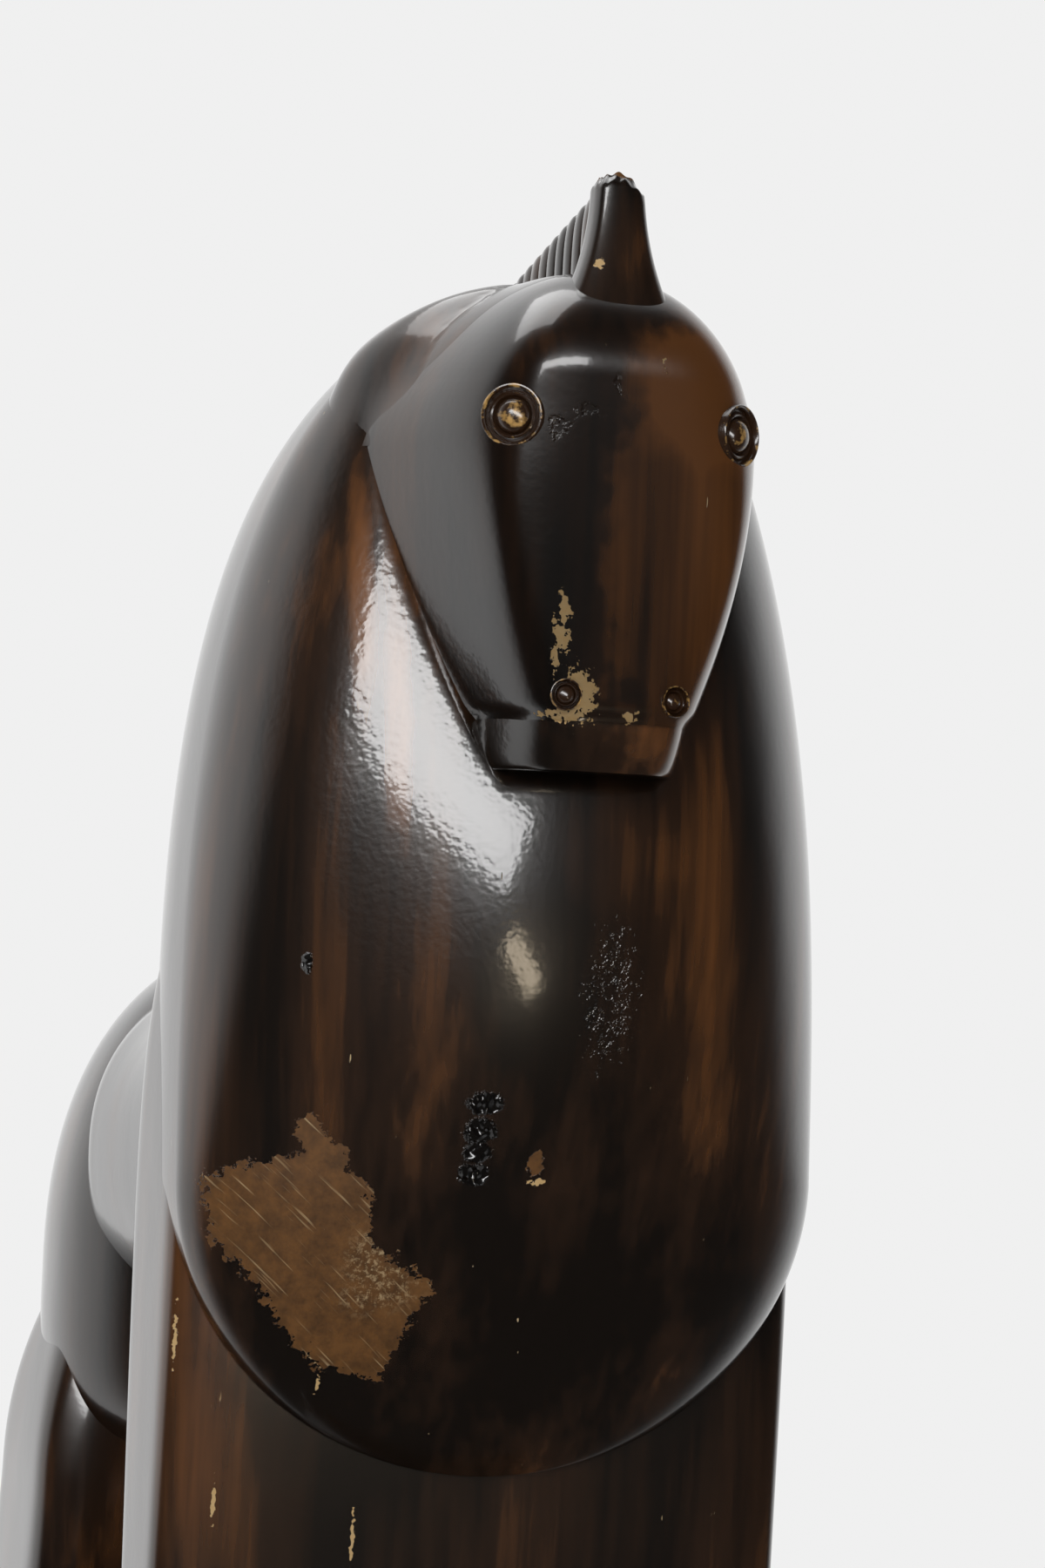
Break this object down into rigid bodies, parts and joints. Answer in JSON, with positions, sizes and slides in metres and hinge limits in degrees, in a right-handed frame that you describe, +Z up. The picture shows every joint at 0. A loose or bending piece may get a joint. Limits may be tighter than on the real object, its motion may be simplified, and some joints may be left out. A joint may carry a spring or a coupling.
{
  "type": "carved horse statue",
  "caption": "Stylised standing horse carved in dark lacquered wood, head tucked to an egg-shaped chest, with an upright ridged mane, on a low plinth",
  "frame": {"origin": "middle of the plinth's underside", "axes": "-Y is the way the horse faces, +X is the horse's left, +Z is up"},
  "size_m": [0.149, 0.27, 0.4203],
  "materials": {
    "lacquered_wood": "worn glossy dark brown lacquer",
    "plinth_wood": "glossy dark brown lacquer"
  },
  "bodies": {
    "root": {"horse": "lacquered_wood", "plinth": "plinth_wood"}
  },
  "joints": []
}
